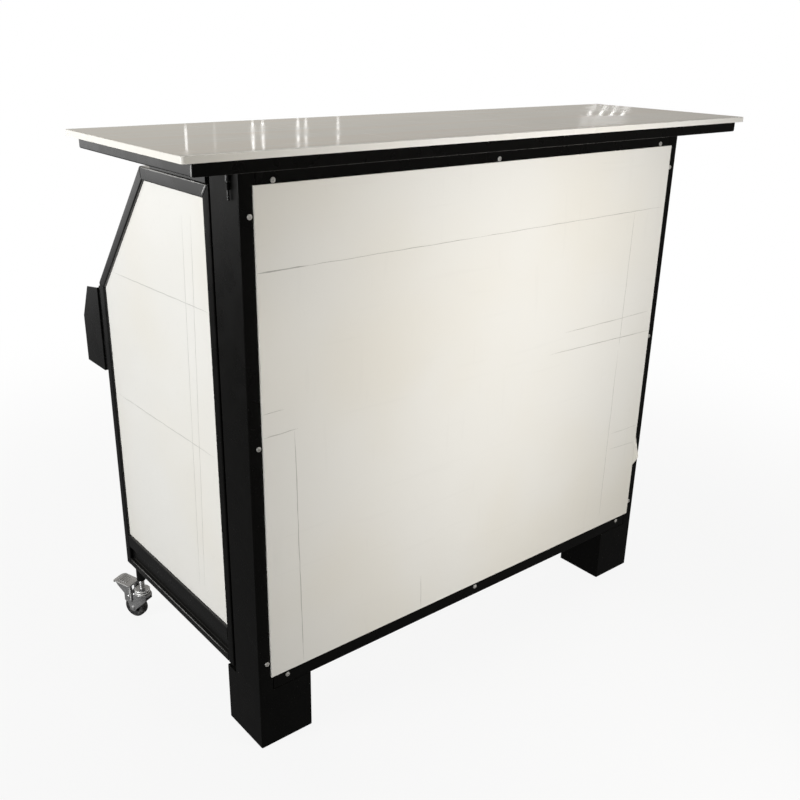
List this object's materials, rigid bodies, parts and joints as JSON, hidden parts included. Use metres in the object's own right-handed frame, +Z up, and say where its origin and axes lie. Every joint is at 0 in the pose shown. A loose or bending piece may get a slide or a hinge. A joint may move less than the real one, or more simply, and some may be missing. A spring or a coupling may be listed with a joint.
{
  "type": "folding portable bar",
  "caption": "Portable bar counter on box feet and braked casters: white panels in black tube frames, folding side wings, lift-off counter top and bottle rail.",
  "frame": {"origin": "on the floor, at the centre of the overall width and depth", "axes": "+X along the counter's length, +Y from the customers' side to the bartender's side, +Z up"},
  "size_m": [1.33, 0.7466, 1.1],
  "materials": {
    "black_paint": "semi-gloss black powder coat",
    "white_sheet": "gloss white acrylic under clear film",
    "slab_sheet": "gloss white acrylic slab",
    "back_sheet": "matt white sheet",
    "zinc": "bright zinc plate",
    "screw_steel": "zinc-plated pan head",
    "wheel_rubber": "dark grey rubber"
  },
  "bodies": {
    "front_frame": {"post_left": "black_paint", "post_right": "black_paint", "front_top_rail": "black_paint", "front_bottom_rail": "black_paint", "front_panel": "white_sheet", "back_panel": "back_sheet", "foot_left": "black_paint", "foot_right": "black_paint", "hinge_post_lower_left": "black_paint", "hinge_post_upper_left": "black_paint", "hinge_post_lower_right": "black_paint", "hinge_post_upper_right": "black_paint", "panel_screw_top_1": "screw_steel", "panel_screw_top_2": "screw_steel", "panel_screw_top_3": "screw_steel", "panel_screw_bottom_1": "screw_steel", "panel_screw_bottom_2": "screw_steel", "panel_screw_bottom_3": "screw_steel", "panel_screw_left_1": "screw_steel", "panel_screw_left_2": "screw_steel", "panel_screw_left_3": "screw_steel", "panel_screw_right_1": "screw_steel", "panel_screw_right_2": "screw_steel", "panel_screw_right_3": "screw_steel"},
    "wing_left": {"wing_front_stile_left": "black_paint", "wing_rear_stile_left": "black_paint", "wing_top_rail_left": "black_paint", "wing_diagonal_left": "black_paint", "wing_bottom_rail_left": "black_paint", "wing_panel_left": "white_sheet", "hinge_wing_lower_left": "black_paint", "hinge_wing_upper_left": "black_paint", "rail_bracket_left": "black_paint", "caster_stem_left": "zinc"},
    "caster_left": {"caster_fork_left": "zinc"},
    "wheel_left": {"caster_wheel_left": "wheel_rubber"},
    "pedal_left": {"brake_pedal_left": "zinc"},
    "wing_right": {"wing_front_stile_right": "black_paint", "wing_rear_stile_right": "black_paint", "wing_top_rail_right": "black_paint", "wing_diagonal_right": "black_paint", "wing_bottom_rail_right": "black_paint", "wing_panel_right": "white_sheet", "hinge_wing_lower_right": "black_paint", "hinge_wing_upper_right": "black_paint", "rail_bracket_right": "black_paint", "caster_stem_right": "zinc"},
    "caster_right": {"caster_fork_right": "zinc"},
    "wheel_right": {"caster_wheel_right": "wheel_rubber"},
    "pedal_right": {"brake_pedal_right": "zinc"},
    "counter": {"counter_slab": "slab_sheet", "counter_tube_front": "black_paint", "counter_tube_rear": "black_paint", "counter_tube_left": "black_paint", "counter_tube_right": "black_paint", "counter_cross_left": "black_paint", "counter_cross_right": "black_paint"},
    "bottle_rail": {"rail_trough": "black_paint", "rail_hook_left": "black_paint", "rail_hook_right": "black_paint"}
  },
  "joints": [
    {"name": "counter_lift", "type": "slide", "parent": "front_frame", "child": "counter", "axis": [0, 0, 1], "range_m": [0, 0.2]},
    {"name": "bottle_rail_lift", "type": "slide", "parent": "front_frame", "child": "bottle_rail", "axis": [0, 0, 1], "range_m": [0, 0.2]},
    {"name": "wing_fold_left", "type": "hinge", "parent": "front_frame", "child": "wing_left", "pos_m": [-0.508, -0.20375, 0.6], "axis": [0, 0, -1], "range_deg": [0, 90]},
    {"name": "caster_swivel_left", "type": "hinge", "parent": "wing_left", "child": "caster_left", "pos_m": [-0.5275, 0.23125, 0.065], "axis": [0, 0, 1], "continuous": true},
    {"name": "wheel_spin_left", "type": "hinge", "parent": "caster_left", "child": "wheel_left", "pos_m": [-0.53658, 0.24907, 0.025], "axis": [0.891, 0.454, 0], "continuous": true},
    {"name": "brake_press_left", "type": "hinge", "parent": "caster_left", "child": "pedal_left", "pos_m": [-0.5393, 0.25442, 0.056], "axis": [-0.891, -0.454, 0], "range_deg": [0, 12]},
    {"name": "wing_fold_right", "type": "hinge", "parent": "front_frame", "child": "wing_right", "pos_m": [0.508, -0.20375, 0.6], "axis": [0, 0, 1], "range_deg": [0, 90]},
    {"name": "caster_swivel_right", "type": "hinge", "parent": "wing_right", "child": "caster_right", "pos_m": [0.5275, 0.23125, 0.065], "axis": [0, 0, 1], "continuous": true},
    {"name": "wheel_spin_right", "type": "hinge", "parent": "caster_right", "child": "wheel_right", "pos_m": [0.53658, 0.24907, 0.025], "axis": [-0.891, 0.454, 0], "continuous": true},
    {"name": "brake_press_right", "type": "hinge", "parent": "caster_right", "child": "pedal_right", "pos_m": [0.5393, 0.25442, 0.056], "axis": [-0.891, 0.454, 0], "range_deg": [0, 12]}
  ]
}
